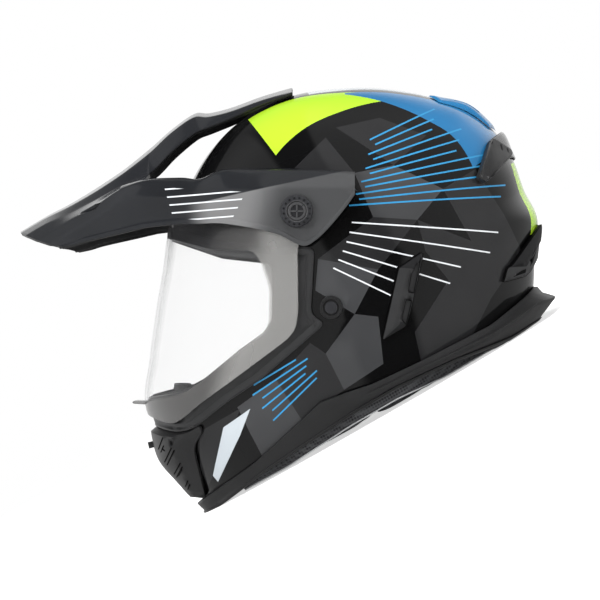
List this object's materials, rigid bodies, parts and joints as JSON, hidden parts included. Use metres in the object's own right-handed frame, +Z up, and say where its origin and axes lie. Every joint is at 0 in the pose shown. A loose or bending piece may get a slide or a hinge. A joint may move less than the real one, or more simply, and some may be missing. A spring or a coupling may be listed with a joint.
{
  "type": "full face helmet",
  "caption": "Full face adventure helmet with a long tilting peak, hinged clear shield, vents, flared rim skirt, foam and padded lining, and a chin strap with D-rings.",
  "frame": {"origin": "on the table under the middle of the helmet's box, with the helmet standing on its rim", "axes": "the face looks along -X, the wearer's left is -Y, +Z is up"},
  "size_m": [0.3746, 0.2686, 0.2803],
  "materials": {
    "shell_gloss": "glossy clear-coated black with grey facets",
    "trim_matte": "matte moulded black",
    "seal_rubber": "soft black",
    "vent_blue": "glossy blue",
    "hub_plastic": "moulded nylon",
    "clear_shield": "clear polycarbonate",
    "peak_plastic": "satin black",
    "screw_black": "moulded black",
    "steel": "zinc plated",
    "foam": "dark beaded foam",
    "lining": "brushed knit",
    "neck_fabric": "coated cloth",
    "webbing": "woven strap"
  },
  "bodies": {
    "helmet": {"outer_shell": "shell_gloss", "eyeport_frame": "trim_matte", "eyeport_gasket": "seal_rubber", "chin_vent": "trim_matte", "rim_skirt": "trim_matte", "side_vent_left": "trim_matte", "side_vent_right": "trim_matte", "rear_spoiler": "shell_gloss", "rear_lower_vent": "trim_matte", "crown_vent_left": "vent_blue", "crown_vent_right": "vent_blue", "side_plug_left": "trim_matte", "side_plug_right": "trim_matte", "pivot_plate_left": "hub_plastic", "pivot_plate_right": "hub_plastic", "peak_screw_left": "screw_black", "peak_screw_right": "screw_black", "peak_nut_left": "steel", "peak_nut_right": "steel", "breath_deflector": "seal_rubber", "eps_liner": "foam", "eps_chin": "foam", "eps_cheek_left": "foam", "eps_cheek_right": "foam", "crown_lining": "lining", "cheek_pad_left": "lining", "cheek_pad_right": "lining", "neck_roll": "neck_fabric", "strap_left": "webbing", "strap_right": "webbing", "strap_pad": "lining", "strap_rivets": "steel", "strap_snap": "steel"},
    "shield": {"face_shield": "clear_shield"},
    "peak_body": {"peak": "peak_plastic"},
    "shutter": {"chin_vent_shutter": "trim_matte"},
    "ring_outer": {"d_ring_outer": "steel"},
    "ring_inner": {"d_ring_inner": "steel"}
  },
  "joints": [
    {"name": "shield_hinge", "type": "hinge", "parent": "helmet", "child": "shield", "pos_m": [0.0104, 0, 0.1683], "axis": [0, 1, 0], "range_deg": [0, 40]},
    {"name": "peak_tilt", "type": "hinge", "parent": "helmet", "child": "peak_body", "pos_m": [0.0104, 0, 0.1683], "axis": [0, 1, 0], "range_deg": [-3, 3]},
    {"name": "vent_slide", "type": "slide", "parent": "helmet", "child": "shutter", "axis": [0.2767, 0, 0.961], "range_m": [0, 0.006]},
    {"name": "outer_ring_swing", "type": "hinge", "parent": "helmet", "child": "ring_outer", "pos_m": [-0.04801, 0.038, 0.02363], "axis": [1, 0, 0], "range_deg": [0, 15]},
    {"name": "inner_ring_swing", "type": "hinge", "parent": "helmet", "child": "ring_inner", "pos_m": [-0.04801, 0.0339, 0.02363], "axis": [1, 0, 0], "range_deg": [-75, 0]}
  ]
}
